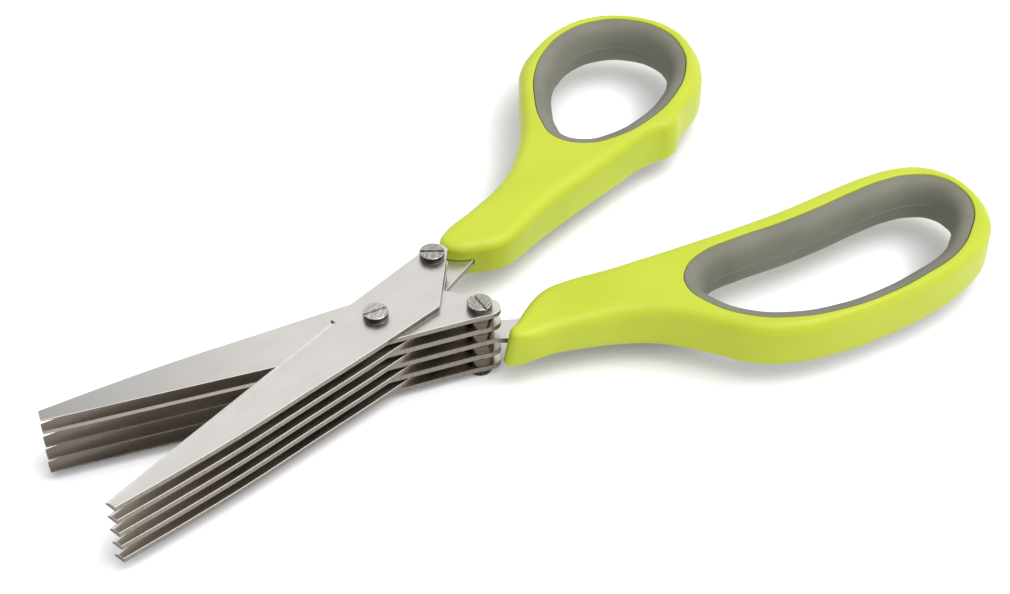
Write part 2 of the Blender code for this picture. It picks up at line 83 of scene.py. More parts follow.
# The tang has narrowed to its sides this far behind the neck's start
tang_entry = 4.5
blade_edge_line = [(-65.1, 0.36), (-1.63, 5.905)]
blade_front = [(*blade_edge_line[0], "S"), (-65.0, -2.3, "S"), (-51.43, -3.72), (-38.6, -4.78),
               (-21.81, -5.55), (-5.34, -6.32), (10.29, -6.75, "S")]
tail_corner = (18.0, 6.88, "S")
short_tail = [(23.3, 3.88, "S"), (23.42, 5.4), (22.78, 6.64), (21.58, 7.12), tail_corner]
tang_root = (19.9, 0.96, "S")
tail_back = (21.58, 7.12, "S")


def deselect():
    """Leave edit mode and deselect everything."""
    if bpy.context.mode != "OBJECT":
        bpy.ops.object.mode_set(mode="OBJECT")
    bpy.ops.object.select_all(action="DESELECT")


def pick(piece):
    """Select this piece alone."""
    deselect()
    piece.select_set(True)
    bpy.context.view_layer.objects.active = piece


def trace(name, outline, steps, side):
    """A closed flat curve traced point by point. A third value on a point keeps its corner sharp."""
    deselect()
    bpy.ops.curve.primitive_bezier_curve_add(enter_editmode=True)
    curve = bpy.context.object
    curve.name = name
    bpy.ops.curve.select_all(action="SELECT")
    bpy.ops.curve.delete(type="VERT")
    for point in outline:
        bpy.ops.curve.vertex_add(location=(point[0] * mm, side * point[1] * mm, 0))
    bpy.ops.curve.cyclic_toggle()
    bpy.ops.curve.select_all(action="DESELECT")
    for knot, point in zip(curve.data.splines[0].bezier_points, outline):
        knot.select_control_point = len(point) > 2
    bpy.ops.curve.handle_type_set(type="VECTOR")
    bpy.ops.object.mode_set(mode="OBJECT")
    curve.data.dimensions = "2D"
    curve.data.fill_mode = "NONE"
    curve.data.resolution_u = steps
    return curve


def make_mesh(curve):
    """Turn a curve into a closed mesh without doubles."""
    pick(curve)
    bpy.ops.object.convert(target="MESH")
    bpy.ops.object.mode_set(mode="EDIT")
    bpy.ops.mesh.select_all(action="SELECT")
    bpy.ops.mesh.remove_doubles(threshold=weld)
    bpy.ops.mesh.normals_make_consistent(inside=False)
    bpy.ops.object.mode_set(mode="OBJECT")
    return bpy.context.object


def cut_away(piece, cutter):
    """Cut one piece's shape out of another and throw the cutter away."""
    pick(piece)
    modifier = piece.modifiers.new("cut", "BOOLEAN")
    modifier.operation = "DIFFERENCE"
    modifier.solver = "EXACT"
    modifier.object = cutter
    bpy.ops.object.modifier_apply(modifier=modifier.name)
    bpy.data.objects.remove(cutter, do_unlink=True)


def settle(piece, turn, height=0):
    """Turn a piece about the pivot, lift it to its height, and put that place into its mesh."""
    pick(piece)
    piece.rotation_euler.z += turn
    piece.location.z += height
    if turn:
        piece.location = Matrix.Rotation(turn, 3, "Z") @ piece.location
    bpy.ops.object.transform_apply(location=True, rotation=True, scale=True)


def copied(piece, name):
    """A copy of a piece with a mesh of its own."""
    made = piece.copy()
    made.data = piece.data.copy()
    made.name = name
    bpy.context.scene.collection.objects.link(made)
    return made


def srgb(code):
    """A colour written as #RRGGBB, in the linear values that a shader takes."""
    values = [int(code[i:i + 2], 16) / 255 for i in (1, 3, 5)]
    return (*[v / 12.92 if v <= 0.04045 else ((v + 0.055) / 1.055) ** 2.4 for v in values], 1)


def add_node(tree, kind, inputs=(), **settings):
    """Add a node, set its properties, and fill its inputs with values or with another node's output."""
    made = tree.nodes.new(kind)
    for name, value in settings.items():
        setattr(made, name, value)
    for socket, value in dict(inputs).items():
        if isinstance(value, bpy.types.NodeSocket):
            tree.links.new(value, made.inputs[socket])
        else:
            made.inputs[socket].default_value = value
    return made


def new_material(name, **sockets):
    """A material with constant values on its shader. Returns the material, its nodes and the shader."""
    material = bpy.data.materials.new(name)
    material.use_nodes = True
    shader = material.node_tree.nodes["Principled BSDF"]
    for socket, value in sockets.items():
        shader.inputs[socket.replace("_", " ")].default_value = value
    return material, material.node_tree, shader


def pattern(tree, size, turn=0, detail=2.0, roughness=0.5):
    """Noise whose grains measure (x, y, z) metres, laid along a direction turned about Z."""
    place = add_node(tree, "ShaderNodeTexCoord")
    laid = add_node(tree, "ShaderNodeMapping", {
        "Vector": place.outputs["Object"], "Rotation": (0, 0, turn), "Scale": size,
    }, vector_type="TEXTURE")
    return add_node(tree, "ShaderNodeTexNoise", {
        "Vector": laid.outputs["Vector"], "Scale": 1.0, "Detail": detail, "Roughness": roughness,
    }).outputs["Fac"]


# Most of the noise lies between these values
noise_range = (0.35, 0.65)


def patterned_finish(tree, shader, tint, dull, bright, relief, smooth, rough, depth,
                     tint_range=noise_range):
    """Let a tint pattern blend two colours, and a relief pattern vary the roughness and stand up by a
    depth in metres. Returns the colour."""
    share = add_node(tree, "ShaderNodeMapRange", {
        "Value": tint, "From Min": tint_range[0], "From Max": tint_range[1]})
    colour = add_node(tree, "ShaderNodeMix", {
        "Factor": share.outputs["Result"], "A": srgb(dull), "B": srgb(bright)}, data_type="RGBA")
    roughness = add_node(tree, "ShaderNodeMapRange", {
        "Value": relief, "From Min": noise_range[0], "From Max": noise_range[1],
        "To Min": smooth, "To Max": rough})
    bump = add_node(tree, "ShaderNodeBump", {"Height": relief, "Distance": depth})
    tree.links.new(colour.outputs["Result"], shader.inputs["Base Color"])
    tree.links.new(roughness.outputs["Result"], shader.inputs["Roughness"])
    tree.links.new(bump.outputs["Normal"], shader.inputs["Normal"])
    return colour.outputs["Result"]


# Places along a blade: its tip, and where painted shade starts to darken it towards the tip
tip_shade_run = (-66 * mm, -18 * mm)


def brushed_steel(name, turn, dull, bright, smooth=0.28, rough=0.38, tip=None):
    """Stainless sheet, brushed, rolled or ground along the blade: a satin with faint long streaks."""
    material, tree, shader = new_material(name, Metallic=1.0)
    # Real brush lines are about 0.05 mm apart. They are drawn 0.25 mm apart, or they would not show.
    streaks = pattern(tree, (6 * mm, 0.25 * mm, 6 * mm), turn, detail=3.0)
    clouds = pattern(tree, (7 * mm, 4 * mm, 7 * mm), turn)
    mixed = add_node(tree, "ShaderNodeMix", {
        "Factor": 0.6, "A": streaks, "B": clouds}, data_type="FLOAT")
    colour = patterned_finish(tree, shader, mixed.outputs["Result"], dull, bright, streaks,
                              smooth, rough, depth=0.002 * mm, tint_range=(0.25, 0.75))
    # A tip colour is painted shade, darkening the blade towards its tip
    if tip:
        place = add_node(tree, "ShaderNodeTexCoord")
        along = add_node(tree, "ShaderNodeVectorMath", {
            0: place.outputs["Object"], 1: (cos(turn), sin(turn), 0)}, operation="DOT_PRODUCT")
        share = add_node(tree, "ShaderNodeMapRange", {
            "Value": along.outputs["Value"], "From Min": tip_shade_run[0], "From Max": tip_shade_run[1],
            "To Min": 1.0, "To Max": 0.0})
        tip_shaded = add_node(tree, "ShaderNodeMix", {
            "Factor": share.outputs["Result"], "A": colour, "B": srgb(tip)}, data_type="RGBA")
        tree.links.new(tip_shaded.outputs["Result"], shader.inputs["Base Color"])
    return material


def sheared_steel(name, dull, bright):
    """The stamped edge of the sheet: warmer and duller than the faces, with upright shear marks."""
    material, tree, shader = new_material(name, Metallic=1.0)
    # Shear marks stand upright about 0.1 mm apart, and are drawn 0.25 mm apart to show.
    marks = pattern(tree, (0.25 * mm, 0.25 * mm, 3 * mm))
    patterned_finish(tree, shader, marks, dull, bright, marks,
                     smooth=0.34, rough=0.5, depth=0.006 * mm)
    return material


def plate_outline(half, with_tang):
    """A plate from its tip back along the outer side, round its tail or tang, to the edge's root."""
    back = short_tail
    if with_tang:
        low, high = tang_sides
        entry = neck_start[half] + tang_entry
        corner = tang_end - tang_corner
        back = [tang_root, (entry, low, "S"), (corner, low, "S"), (tang_end, low + tang_corner, "S"),
                (tang_end, high - tang_corner, "S"), (corner, high, "S"), (entry, high, "S"),
                tail_back, tail_corner]
    return blade_front + back + [(*blade_edge_line[1], "S")]


def blade_blank(half, name, with_tang, thickness, grow=0.0, rim=0.0):
    """A plate stamped to its outline, with its holes, before the edge is ground."""
    side = sides[half]
    plate = trace(name, plate_outline(half, with_tang), plate_curve_steps, side)
    bpy.ops.object.mode_set(mode="EDIT")
    holes = [(0, 0, sleeve_hole), (tail.x, tail.y, sleeve_hole)]
    if with_tang:
        holes += [(place, tang_middle, peg_radius) for place in peg_places]
    for x, y, radius in holes:
        bpy.ops.curve.primitive_bezier_circle_add(radius=radius, location=(x, side * y, 0))
    bpy.ops.object.mode_set(mode="OBJECT")
    plate.data.fill_mode = "BOTH"
    plate.data.extrude = thickness / 2 - rim
    plate.data.bevel_depth = rim
    plate.data.bevel_resolution = 0
    plate.data.offset = grow - rim
    return make_mesh(plate)


def grind_edge(plate, side, face, width, depth):
    """Grind a bevel along the cutting edge, on the upper (1) or lower (-1) face of a plate."""
    tip, root = [Vector(point) * mm for point in blade_edge_line]
    along = (root - tip).normalized()
    across = Vector((-along.y, along.x))
    slope = depth / width
    length = (root - tip).length - bevel_stop + grind_overrun
    # The stone is a block whose lower face leans about the line where the bevel meets the face
    pick(plate)
    bpy.ops.mesh.primitive_cube_add(size=1)
    block = bpy.context.object
    for vertex in block.data.vertices:
        lower = vertex.co.z < 0
        run = (vertex.co.x + 0.5) * length - grind_overrun
        past = vertex.co.y * stone_size
        height = sheet / 2 - slope * (past + width) if lower else stone_size
        if lower and vertex.co.x > 0:
            run -= bevel_runout
        place = tip + along * run + across * past
        vertex.co = (place.x, side * place.y, face * height)
    bpy.ops.object.mode_set(mode="EDIT")
    bpy.ops.mesh.select_all(action="SELECT")
    bpy.ops.mesh.normals_make_consistent(inside=False)
    bpy.ops.object.mode_set(mode="OBJECT")
    cut_away(plate, block)


def paint(piece, material, wanted):
    """Give some faces of a piece their own finish, chosen by their centre and normal."""
    piece.data.materials.append(material)
    for face in piece.data.polygons:
        if wanted(face.center, face.normal):
            face.material_index = len(piece.data.materials) - 1


def on_rim(normal):
    """Whether a face stands upright, as the sheared edge of the sheet does."""
    return abs(normal.z) < 0.5


def on_bevel(normal):
    """Whether a face slopes, as the ground bevel and the narrow chamfers of the rims do."""
    return 0.5 < abs(normal.z) < 0.9


def plate_top(half, pair):
    """The top of a plate's level in the stack. The finger plate lies under the thumb plate."""
    return stack_top - (pair - 1) * pair_pitch - (0 if half == "thumb" else level)


def between_plates(half, pair, normal):
    """Whether a blade's face is turned into the stack. The first pair's upper faces count as open."""
    return (normal.z > 0.9 and pair > 1) or (normal.z < -0.9 and (half == "thumb" or pair < pairs))


# Behind this the tails and tangs show the brushed face on both sides, without painted shade
tang_start = 18.5 * mm
rim_steel = sheared_steel("stainless_sheet_sheared_edge", "#7F7A71", "#948E85")
# Rims are painted darker as shade: at the tips, along the lower finger blades, and behind
# the pivot on the top thumb blade. The bevels of the lower finger blades get painted shade with them.
rim_painted_shade = sheared_steel("stainless_sheet_edge_painted_shade", "#57534E", "#77726B")
bevel_painted_shade = sheared_steel("stainless_sheet_bevel_in_shade", "#6E675F", "#8A837A")
# A facet colour that stands in for a highlight line: painted highlight
highlight_line_steel = sheared_steel("stainless_sheet_edge_painted_highlight", "#7C756D", "#948E86")
# The rims' painted shade starts or stops here along the blade
rim_shade_start = -4 * mm
tip_end = -64.6 * mm
plate_smoothing = radians(30)
for half, side in sides.items():
    turn = side * opening / 2
    # The finger blades are painted darker towards the tip, as shade
    face_steel = brushed_steel(half + "_stainless_sheet_brushed", turn, "#D2CFCA", "#DEDBD7",
                               tip="#A9A7A4" if half == "finger" else None)
    # Between the plates the faces are painted brown and dim, as shade, and are rougher.
    inner_steel_painted_shade = brushed_steel(half + "_stainless_sheet_as_rolled", turn, "#9A9186", "#B0A79C",
                                0.34, 0.46, tip="#7F766D" if half == "finger" else None)
    # The bevel is cut by a coarser wheel that spreads the light; its near-white colour is painted
    # highlight
    ground_steel_painted_highlight = brushed_steel(half + "_stainless_sheet_ground_bevel", turn, "#ECEAE6", "#F6F5F2",
                                 0.5, 0.6)
    plates = {}
    for kind, with_tang in (("short", False), ("tang", True)):
        blank = blade_blank(half, f"{half}_{kind}_blank", with_tang, sheet, rim=plate_rim)
        grind_edge(blank, side, side, bevel_width, sheet - bevel_land)
        pick(blank)
        bpy.ops.object.mode_set(mode="EDIT")
        bpy.ops.mesh.select_all(action="SELECT")
        bpy.ops.mesh.bisect(plane_co=(tang_start, 0, 0), plane_no=(1, 0, 0))
        bpy.ops.object.mode_set(mode="OBJECT")
        blank.data.materials.clear()
        blank.data.materials.append(face_steel)
        paint(blank, rim_steel, lambda centre, normal: on_rim(normal))
        # Tip ends get painted shade
        paint(blank, rim_painted_shade, lambda centre, normal: on_rim(normal) and centre.x < tip_end)
        # Bevels and rim chamfers get the painted highlight
        paint(blank, ground_steel_painted_highlight, lambda centre, normal: on_bevel(normal))
        plates[kind] = blank
    for pair in range(1, pairs + 1):
        blade = copied(plates["tang" if pair == tang_pair else "short"], f"{half}_cutting_blade_{pair}")
        # Faces turned into the stack get the painted shade
        paint(blade, inner_steel_painted_shade, lambda centre, normal: (
            centre.x < tang_start and between_plates(half, pair, normal)))
        # The lower finger blades' rims and bevels get painted shade
        if half == "finger" and pair > 2:
            paint(blade, rim_painted_shade, lambda centre, normal: on_rim(normal) and centre.x < rim_shade_start)
            paint(blade, bevel_painted_shade, lambda centre, normal: on_bevel(normal))
        if half == "finger" and pair == 2:
            # A facet cut along this edge from above, in its own colour, is partly painted highlight
            grind_edge(blade, side, 1, highlight_facet_width, highlight_facet_depth)
            paint(blade, highlight_line_steel, lambda centre, normal: 0.7 < normal.z < 0.9)
        # The top thumb blade's rims behind the pivot get painted shade
        if half == "thumb" and pair == 1:
            paint(blade, rim_painted_shade, lambda centre, normal: on_rim(normal) and centre.x > rim_shade_start)
        settle(blade, turn, plate_top(half, pair) - level / 2)
        bpy.ops.object.shade_smooth_by_angle(angle=plate_smoothing)
        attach(blade, half_body[half])
        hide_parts(f"{half}_blade_{pair}")
    for blank in plates.values():
        bpy.data.objects.remove(blank, do_unlink=True)


# Slotted screws and their sleeve nuts
# Three turned stainless screws, tumbled bright, each screwed into a headed sleeve nut that comes up
# through the plates from below. One is the pivot and one ties together the tails of each half.
head_radius = 2.45 * mm
sleeve_radius = 1.8 * mm
shank_radius = 1.25 * mm
bore_radius = 1.30 * mm
bore_floor = 0.8 * mm
slot_width = 0.5 * mm
slot_depth = 0.5 * mm
slot_cutter_length = 3 * head_radius
head_rim_rounding = 0.22 * mm
head_seat_rounding = 0.06 * mm
head_side_start = 0.9 * head_radius
screw_end_gap = 0.4 * mm
sleeve_end_gap = 0.04 * mm
turned_sides = 64
turned_smoothing = radians(40)
# Places closer together than this are the same place
near = 0.01 * mm


def tumbled_steel(name, dull, bright, smooth=0.2, rough=0.38):
    """Turned and tumbled stainless: bright, with fine scratches and shallow dents."""
    material, tree, shader = new_material(name, Metallic=1.0)
    # Tumbling scratches are about 0.05 mm wide, and are drawn 0.2 mm wide to show.
    scratches = pattern(tree, (2.2 * mm, 0.2 * mm, 2.2 * mm), radians(35), detail=3.0)
    dents = pattern(tree, (0.6 * mm, 0.4 * mm, 0.6 * mm), radians(35), detail=3.0, roughness=0.6)
    both = add_node(tree, "ShaderNodeMix", {
        "Factor": 0.5, "A": scratches, "B": dents}, data_type="FLOAT")
    height = both.outputs["Result"]
    patterned_finish(tree, shader, height, dull, bright, height,
                     smooth, rough, depth=0.02 * mm, tint_range=(0.38, 0.62))
    return material


def select_faces(wanted):
    """In edit mode, select the faces whose centre and normal satisfy the test."""
    bpy.ops.mesh.select_mode(type="FACE")
    bpy.ops.mesh.select_all(action="DESELECT")
    shape = bmesh.from_edit_mesh(bpy.context.object.data)
    for face in shape.faces:
        face.select = wanted(face.calc_center_median(), face.normal)
    shape.select_flush_mode()
    bmesh.update_edit_mesh(bpy.context.object.data)


def select_edges(wanted):
    """In edit mode, select the edges that satisfy the test."""
    bpy.ops.mesh.select_mode(type="EDGE")
    bpy.ops.mesh.select_all(action="DESELECT")
    shape = bmesh.from_edit_mesh(bpy.context.object.data)
    for edge in shape.edges:
        edge.select = wanted(edge)
    shape.select_flush_mode()
    bmesh.update_edit_mesh(bpy.context.object.data)


def round_rim(height, radius, amount, segments=3):
    """Round the rim of a turned piece at this height and radius."""
    select_edges(lambda edge: all(abs(end.co.z - height) < near and abs(end.co.xy.length - radius) < near
                                  for end in edge.verts))
    bpy.ops.mesh.bevel(offset=amount, segments=segments, affect="EDGES")


def grow_from_face(height, upwards, radius, from_radius, run):
    """Inset the flat end face at this height to a smaller radius, then draw it in or out."""
    select_faces(lambda centre, normal: abs(centre.z - height) < near and centre.xy.length < near
                 and (normal.z > 0.9 if upwards else normal.z < -0.9))
    bpy.ops.mesh.inset(thickness=(from_radius - radius) * cos(pi / turned_sides))
    bpy.ops.mesh.extrude_region_move(TRANSFORM_OT_translate={"value": (0, 0, run)})


steel_turned = tumbled_steel("stainless_screw_tumbled", "#88847E", "#CAC7C2")
# The pivot's head is rubbed brighter than the others
steel_rubbed = tumbled_steel("stainless_screw_rubbed_bright", "#A19D97", "#D8D5D0")
# The sides of a head are painted dark, as shade under its rim and at its foot
head_side_painted_shade = tumbled_steel("stainless_screw_side_painted_shade", "#2E2B28", "#504C48", 0.22, 0.36)
# For each: its half, its place, where the stack starts and ends along it, and its slot's turn in degrees
fasteners = {
    "pivot": ("finger", Vector((0, 0)), head_height, stack_top, 4),
    "thumb_tail": ("thumb", tail, head_height + level, stack_top, -46),
    "finger_tail": ("finger", Vector((tail.x, -tail.y)), head_height, stack_top - level, -82),
}
for prefix, (half, place, bottom, top, slot_turn) in fasteners.items():
    deselect()
    bpy.ops.mesh.primitive_cylinder_add(vertices=turned_sides, radius=head_radius, depth=head_height,
                                        location=(0, 0, top + head_height / 2), enter_editmode=True)
    screw = bpy.context.object
    screw.name = prefix + "_slotted_screw"
    bpy.ops.object.mode_set(mode="OBJECT")
    bpy.ops.object.transform_apply(location=True)
    bpy.ops.object.mode_set(mode="EDIT")
    bore_end = bottom - head_height + bore_floor
    grow_from_face(top, False, shank_radius, head_radius, bore_end + screw_end_gap - top)
    round_rim(top + head_height, head_radius, head_rim_rounding, 4)
    round_rim(top, head_radius, head_seat_rounding, 2)
    bpy.ops.object.mode_set(mode="OBJECT")
    bpy.ops.mesh.primitive_cube_add(size=1, location=(0, 0, top + head_height),
                                    rotation=(0, 0, radians(slot_turn)),
                                    scale=(slot_cutter_length, slot_width, 2 * slot_depth))
    cut_away(screw, bpy.context.object)
    screw.location = (*place, 0)
    screw.data.materials.append(steel_rubbed if prefix == "pivot" else steel_turned)
    # The head's sides get painted shade
    paint(screw, head_side_painted_shade, lambda centre, normal: abs(normal.z) < 0.3 and centre.z > top
          and centre.xy.length > head_side_start)
    settle(screw, sides[half] * opening / 2)
    bpy.ops.object.shade_smooth_by_angle(angle=turned_smoothing)
    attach(screw, half_body[half])
    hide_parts(prefix + "_screw")

    deselect()
    bpy.ops.mesh.primitive_cylinder_add(vertices=turned_sides, radius=head_radius, depth=head_height,
                                        location=(0, 0, bottom - head_height / 2))
    sleeve = bpy.context.object
    sleeve.name = prefix + "_sleeve_nut"
    bpy.ops.object.transform_apply(location=True)
    bpy.ops.object.mode_set(mode="EDIT")
    sleeve_end = top - sleeve_end_gap
    round_rim(bottom - head_height, head_radius, head_rim_rounding, 4)
    grow_from_face(bottom, True, sleeve_radius, head_radius, sleeve_end - bottom)
    grow_from_face(sleeve_end, True, bore_radius, sleeve_radius, bore_end - sleeve_end)
    bpy.ops.object.mode_set(mode="OBJECT")
    sleeve.location = (*place, 0)
    sleeve.data.materials.append(steel_turned)
    # The sleeve head's sides get painted shade
    paint(sleeve, head_side_painted_shade, lambda centre, normal: abs(normal.z) < 0.3 and centre.z < bottom)
    settle(sleeve, sides[half] * opening / 2)
    bpy.ops.object.shade_smooth_by_angle(angle=turned_smoothing)
    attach(sleeve, half_body[half])
    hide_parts(prefix + "_sleeve")


# Spacers
# Short tubes of polished stainless on the sleeve nuts. Thin washers keep one pair of blades off the
# next at the pivot, and longer tubes do so at the tails, where every second plate is missing.
spacer_bore = 1.85 * mm
spacer_radius = {"pivot": 3.3 * mm, "thumb_tail": 2.8 * mm, "finger_tail": 2.8 * mm}
spacer_rim_rounding = 0.1 * mm


def polished_steel(name):
    """Tube polished on the lathe, with fine rings round it, painted dark brown as shade between the
    plates.
    """
    material, tree, shader = new_material(name, Metallic=1.0)
    # Lathe rings are about 0.05 mm apart, and are drawn 0.2 mm apart to show.
    rings = pattern(tree, (30 * mm, 30 * mm, 0.2 * mm), detail=1.0)
    patterned_finish(tree, shader, rings, "#4F4840", "#6A6152", rings,
                     smooth=0.10, rough=0.18, depth=0.004 * mm)
    return material


# The tubes' dark colour is painted shade
tube_steel_painted_shade = polished_steel("stainless_tube_painted_shade")
for prefix, outer in spacer_radius.items():
    half, place = fasteners[prefix][:2]
    spacer_height = pair_pitch - level if "tail" in prefix else pair_pitch - 2 * level
    deselect()
    bpy.ops.mesh.primitive_cylinder_add(vertices=turned_sides, radius=outer, depth=spacer_height)
    tube = bpy.context.object
    bpy.ops.object.mode_set(mode="EDIT")
    select_faces(lambda centre, normal: abs(normal.z) > 0.9)
    bpy.ops.mesh.inset(thickness=(outer - spacer_bore) * cos(pi / turned_sides), use_individual=False)
    bpy.ops.mesh.delete(type="FACE")
    select_edges(lambda edge: all(abs(end.co.xy.length - spacer_bore) < near for end in edge.verts))
    bpy.ops.mesh.bridge_edge_loops()
    for rim in (-spacer_height / 2, spacer_height / 2):
        round_rim(rim, outer, spacer_rim_rounding)
    bpy.ops.mesh.select_all(action="SELECT")
    bpy.ops.mesh.normals_make_consistent(inside=False)
    bpy.ops.object.mode_set(mode="OBJECT")
    tube.data.materials.append(tube_steel_painted_shade)
    for index in range(1, pairs):
        spacer = copied(tube, f"{prefix}_spacer_tube_{index}")
        spacer_top = plate_top(half, index) - level
        spacer.location = (*place, spacer_top - spacer_height / 2)
        settle(spacer, sides[half] * opening / 2)
        bpy.ops.object.shade_smooth_by_angle(angle=turned_smoothing)
        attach(spacer, half_body[half])
        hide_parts(f"{prefix}_spacer_{index}")
    bpy.data.objects.remove(tube, do_unlink=True)


# Ring handles
# Two handles injection moulded in bright green plastic, with broad rounded edges and a fine matt
# skin from the mould. Each neck is moulded round the tang of the third plate and thins towards its
# end. A soft bump on the inner side of the thumb ring stops the handles as they close.
stack_middle = (head_height + stack_top) / 2
handle_thickness = 10.8 * mm
handle_rounding = 2.6 * mm
neck_end_rounding = 1.2 * mm
neck_end_thickness = 8.3 * mm
neck_blend = (28.0 * mm, 55.0 * mm)
neck_rounding_run = (23.0 * mm, 30.0 * mm)
toe_lean = 1.6 * mm
toe_reach = 0.8 * mm
toe_run = (neck_start["finger"] * mm, 31.0 * mm)
hole_rim_rounding = 0.35 * mm
flat_rim = 0.15 * mm
least_flat = 0.05 * mm
rounding_steps = 10
outline_steps = 10
tang_clearance = 0.15 * mm
neck_cuts = 28
neck_cut_pitch = 1 * mm
neck_cut_snap = 0.03 * mm
handle_smoothing = radians(35)

# Each form's place, length and width in millimetres, and the points of its outline as shares of them
neck_width = 12.2
thumb_neck = (neck_start["thumb"], 30.5)
finger_neck = (neck_start["finger"], 32.2)
thumb_ring = (57.0, 57.8, 41.5)
finger_ring = (55.0, 72.6, 33.6)
thumb_neck_shares = [
    (1.0, 0.14), (0.80, 0.125), (0.62, 0.075), (0.42, 0.005), (0.27, 0.03),
    (0.13, 0.23), (0.015, 0.48), (-0.01, 0.66), (0.02, 0.82), (0.11, 0.94),
    (0.36, 1.00), (0.60, 1.06), (0.80, 1.19), (1.0, 1.44)]
finger_neck_shares = [
    (1.0, 0.12), (0.85, 0.12), (0.72, 0.09), (0.52, 0.03), (0.38, 0.045),
    (0.305, 0.125), (0.21, 0.30), (0.085, 0.60), (0.004, 0.775), (0.009, 0.89), (0.07, 0.972),
    (0.30, 1.01), (0.50, 1.09), (0.70, 1.215), (0.87, 1.385), (1.0, 1.61)]
thumb_ring_shares = [
    (0.14, 0.565), (0.284, 0.76), (0.405, 0.91), (0.55, 0.98), (0.68, 1.0),
    (0.82, 0.955), (0.92, 0.83), (0.985, 0.67), (0.995, 0.52), (0.955, 0.366),
    (0.875, 0.215), (0.79, 0.127), (0.69, 0.080)]
thumb_ring_inner_shares = [(0.40, 0.042), (0.25, 0.042), (0.10, 0.044)]
finger_ring_shares = [
    (0.07, 0.72), (0.15, 0.88), (0.26, 0.975), (0.40, 1.0), (0.55, 0.975),
    (0.70, 0.925), (0.835, 0.825), (0.93, 0.69), (0.980, 0.52), (0.989, 0.30),
    (0.964, 0.09), (0.915, -0.025), (0.84, -0.085), (0.74, -0.093), (0.62, -0.064),
    (0.455, -0.011), (0.29, 0.018), (0.13, 0.035)]
bump = (87.4, 9.0, 9.0)
bump_shares = [(0.46, 0.165), (0.20, 0.015), (-0.08, 0.0), (-0.40, 0.125)]
bump_base_shares = [(0.46, 0.313), (0.20, 0.289), (-0.08, 0.262), (-0.40, 0.232)]
bump_fullness = 0.5
hole_shares = {
    "thumb": [(0.165, 0.355), (0.20, 0.50), (0.29, 0.665), (0.40, 0.805), (0.53, 0.90),
              (0.67, 0.935), (0.80, 0.89), (0.90, 0.765), (0.943, 0.57), (0.90, 0.38),
              (0.80, 0.24), (0.66, 0.147), (0.49, 0.106), (0.32, 0.133), (0.215, 0.21)],
    "finger": [(0.060, 0.40), (0.086, 0.585), (0.156, 0.76), (0.27, 0.885), (0.40, 0.935),
               (0.54, 0.925), (0.67, 0.87), (0.80, 0.775), (0.89, 0.62), (0.945, 0.45),
               (0.955, 0.29), (0.925, 0.13), (0.86, 0.045), (0.77, 0.020), (0.66, 0.045),
               (0.54, 0.088), (0.41, 0.12), (0.27, 0.135), (0.16, 0.17), (0.09, 0.26)]}


def spread(shares, start, length, width):
    """Share points laid out over a length and a width, in millimetres."""
    return [(start + x * length, y * width) for x, y in shares]


def thumb_outline(bump_points):
    """The thumb handle's outline, with the points of its bump or of the flat stretch under it."""
    return (spread(thumb_neck_shares, *thumb_neck, neck_width) + spread(thumb_ring_shares, *thumb_ring)
            + spread(bump_points, *bump) + spread(thumb_ring_inner_shares, *thumb_ring))


def finger_outline():
    """The finger handle's outline."""
    return (spread(finger_neck_shares, *finger_neck, neck_width)
            + spread(finger_ring_shares, *finger_ring))


def hole_outline(half):
    """The rim of a ring's hole, which the liner follows too."""
    return spread(hole_shares[half], *(thumb_ring if half == "thumb" else finger_ring))


def eased(share):
    """A share of a run, easing in at its start and out at its end."""
    share = min(max(share, 0.0), 1.0)
    return share * share * (3 - 2 * share)


def traced_points(outline, side):
    """The points of an outline as the curve through it runs, and the way inwards at each."""
    pick(trace("outline", outline, outline_steps, side))
    bpy.ops.object.convert(target="MESH")
    line = bpy.context.object
    points = [vertex.co.xy for vertex in line.data.vertices]
    bpy.data.objects.remove(line, do_unlink=True)
    inwards = []
    for index, point in enumerate(points):
        before = (point - points[index - 1]).normalized()
        after = (points[(index + 1) % len(points)] - point).normalized()
        along = (before + after).normalized()
        inwards.append(Vector((along.y, -along.x)) * side)
    return points, inwards


def stacked_rings(name, levels):
    """A wall drawn up ring by ring: each level gives the place of every point of the ring."""
    deselect()
    bpy.ops.mesh.primitive_circle_add(vertices=len(levels[0]), radius=1)
    wall = bpy.context.object
    wall.name = name
    for vertex, place in zip(wall.data.vertices, levels[0]):
        vertex.co = place
    bpy.ops.object.mode_set(mode="EDIT")
    bpy.ops.mesh.select_mode(type="EDGE")
    bpy.ops.mesh.select_all(action="SELECT")
    shape = bmesh.from_edit_mesh(wall.data)
    order = shape.verts.layers.int.new("order")
    for vertex in shape.verts:
        vertex[order] = vertex.index
    bmesh.update_edit_mesh(wall.data)
    for places in levels[1:]:
        bpy.ops.mesh.extrude_edges_move()
        shape = bmesh.from_edit_mesh(wall.data)
        order = shape.verts.layers.int["order"]
        for vertex in shape.verts:
            if vertex.select:
                vertex.co = places[vertex[order]]
        bmesh.update_edit_mesh(wall.data)
    bpy.ops.object.mode_set(mode="OBJECT")
    return wall


def wall_width(point, rim):
    """How far a point of the outline is from the nearest stretch of the hole's rim."""
    widths = []
    for start, end in zip(rim, rim[1:] + rim[:1]):
        stretch = end - start
        share = min(max((point - start).dot(stretch) / stretch.length_squared, 0.0), 1.0)
        widths.append((point - start - share * stretch).length)
    return min(widths)


